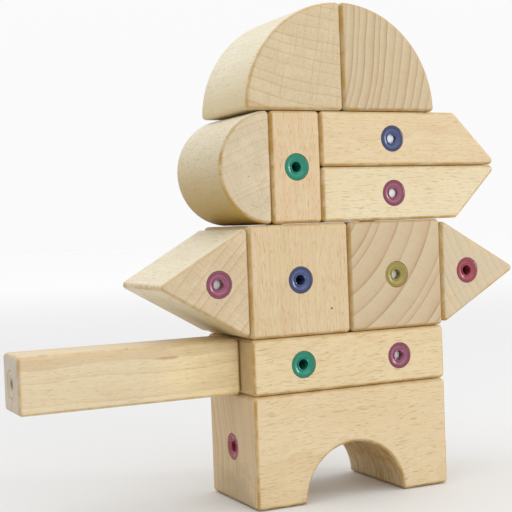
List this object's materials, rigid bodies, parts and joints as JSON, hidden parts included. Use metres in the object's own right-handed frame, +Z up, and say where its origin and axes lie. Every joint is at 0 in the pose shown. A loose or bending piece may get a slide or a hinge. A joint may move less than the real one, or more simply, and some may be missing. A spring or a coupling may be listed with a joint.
{
  "type": "wooden block construction figure",
  "caption": "Standing bird-like figure of rounded beech blocks on one grid, with flush coloured plastic sockets, joined by short split pins; every block pulls off.",
  "frame": {"origin": "middle of the footprint's box, on the surface the figure stands on", "axes": "+Z up, +X along the long side towards the beak's tip, -Y is the front"},
  "size_m": [0.1928, 0.0398, 0.179],
  "materials": {
    "beech_warm": "planed and sanded beech, thin matt oil, rounded edges",
    "beech_pale": "planed and sanded beech, thin matt oil, mostly end grain",
    "socket_pink": "moulded plastic, semi-gloss",
    "socket_green": "moulded plastic, semi-gloss",
    "socket_blue": "moulded plastic, semi-gloss",
    "socket_yellow": "moulded plastic, semi-gloss",
    "socket_red": "moulded plastic, semi-gloss",
    "socket_natural": "moulded plastic, uncoloured, semi-gloss",
    "pin_white": "moulded plastic, uncoloured, satin"
  },
  "bodies": {
    "foot": {"foot_block": "beech_warm", "foot_sockets": "socket_red", "foot_pins": "pin_white"},
    "waist": {"waist_block": "beech_warm", "waist_sockets_left": "socket_green", "waist_sockets_right": "socket_pink", "waist_end_sockets": "socket_blue", "waist_pins": "pin_white", "waist_plug": "pin_white"},
    "arm_pin": {"arm_pin": "pin_white"},
    "arm": {"arm_block": "beech_warm", "arm_sockets": "socket_natural"},
    "torso": {"torso_block_left": "beech_warm", "torso_sockets_left": "socket_blue", "torso_block_right": "beech_warm", "torso_sockets_right": "socket_yellow", "torso_plug_right": "pin_white", "torso_link_pin": "pin_white", "neck_pin": "pin_white", "jaw_pin": "pin_white", "shoulder_pin_left": "pin_white", "shoulder_pin_right": "pin_white"},
    "shoulder_left": {"shoulder_block_left": "beech_pale", "shoulder_sockets_left": "socket_pink", "shoulder_plug_left": "pin_white"},
    "shoulder_right": {"shoulder_block_right": "beech_pale", "shoulder_sockets_right": "socket_red"},
    "face": {"face_block": "beech_warm", "face_sockets": "socket_green", "cheek_pin": "pin_white", "hat_pin_left": "pin_white"},
    "cheek": {"cheek_block": "beech_pale", "cheek_socket": "socket_yellow"},
    "beak_lower": {"beak_block_lower": "beech_warm", "beak_sockets_lower": "socket_pink", "beak_plug_lower": "pin_white", "beak_pin": "pin_white"},
    "beak_upper": {"beak_block_upper": "beech_warm", "beak_sockets_upper": "socket_blue", "beak_plug_upper": "pin_white", "hat_pin_right": "pin_white"},
    "hat_left": {"hat_block_left": "beech_pale", "hat_socket_left": "socket_red"},
    "hat_right": {"hat_block_right": "beech_warm", "hat_socket_right": "socket_green"}
  },
  "joints": [
    {"name": "waist_lift", "type": "slide", "parent": "foot", "child": "waist", "axis": [0, 0, 1], "range_m": [0, 0.012]},
    {"name": "arm_pull", "type": "slide", "parent": "waist", "child": "arm_pin", "axis": [-1, 0, 0], "range_m": [0, 0.012]},
    {"name": "arm_roll", "type": "hinge", "parent": "arm_pin", "child": "arm", "pos_m": [-0.05653, 0, 0.0499], "axis": [1, 0, 0], "range_deg": [-7, 7]},
    {"name": "torso_lift", "type": "slide", "parent": "waist", "child": "torso", "axis": [0, 0, 1], "range_m": [0, 0.012]},
    {"name": "shoulder_left_pull", "type": "slide", "parent": "torso", "child": "shoulder_left", "axis": [-1, 0, 0], "range_m": [0, 0.012]},
    {"name": "shoulder_right_pull", "type": "slide", "parent": "torso", "child": "shoulder_right", "axis": [1, 0, 0], "range_m": [0, 0.012]},
    {"name": "head_lift", "type": "slide", "parent": "torso", "child": "face", "axis": [0, 0, 1], "range_m": [0, 0.012]},
    {"name": "cheek_pull", "type": "slide", "parent": "face", "child": "cheek", "axis": [-1, 0, 0], "range_m": [0, 0.012]},
    {"name": "beak_lower_lift", "type": "slide", "parent": "face", "child": "beak_lower", "axis": [0, 0, 1], "range_m": [0, 0.012]},
    {"name": "beak_upper_lift", "type": "slide", "parent": "beak_lower", "child": "beak_upper", "axis": [0, 0, 1], "range_m": [0, 0.012]},
    {"name": "hat_left_lift", "type": "slide", "parent": "beak_upper", "child": "hat_left", "axis": [0, 0, 1], "range_m": [0, 0.012]},
    {"name": "hat_right_lift", "type": "slide", "parent": "beak_upper", "child": "hat_right", "axis": [0, 0, 1], "range_m": [0, 0.012]}
  ]
}
